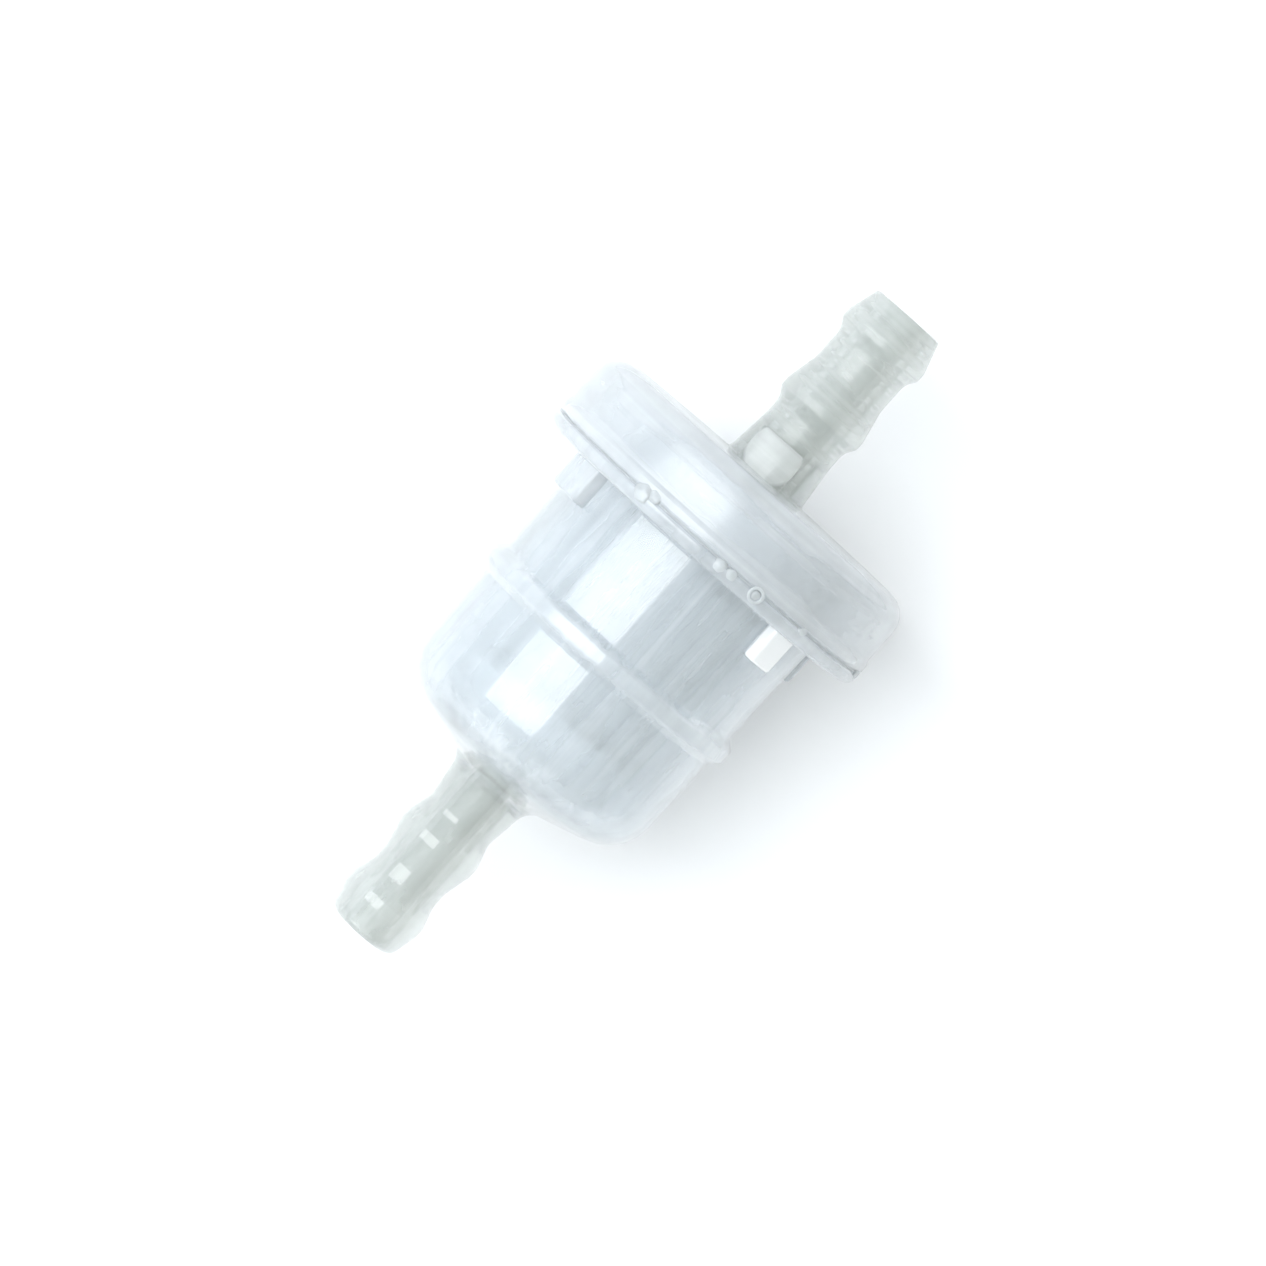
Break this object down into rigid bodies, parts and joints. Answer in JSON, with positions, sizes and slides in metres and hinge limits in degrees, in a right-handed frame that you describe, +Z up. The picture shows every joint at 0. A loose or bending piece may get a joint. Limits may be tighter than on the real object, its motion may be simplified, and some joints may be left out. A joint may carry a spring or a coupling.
{
  "type": "fuel filter",
  "caption": "Small in-line fuel filter: translucent cup and cap cemented together round a gauze strainer, with a barbed hose spigot at each end.",
  "frame": {"origin": "on the flow axis, halfway between the tips of the two spigots, which is the centre of the bounding box", "axes": "+X along the flow axis, from the inlet spigot to the outlet spigot; +Z up, through the lug beside the outlet spigot's foot"},
  "size_m": [0.062, 0.0304, 0.0306],
  "materials": {
    "cup_plastic": "glossy, clear with a slight milkiness",
    "cap_plastic": "glossy, milky translucent",
    "cement": "glossy, clear with bubbles",
    "cage_plastic": "natural nylon",
    "gauze": "fine woven nylon gauze"
  },
  "bodies": {
    "root": {"cup": "cup_plastic", "cap": "cap_plastic", "joint_cement": "cement", "strainer_cage": "cage_plastic", "side_gauze": "gauze", "end_gauze": "gauze"}
  },
  "joints": []
}
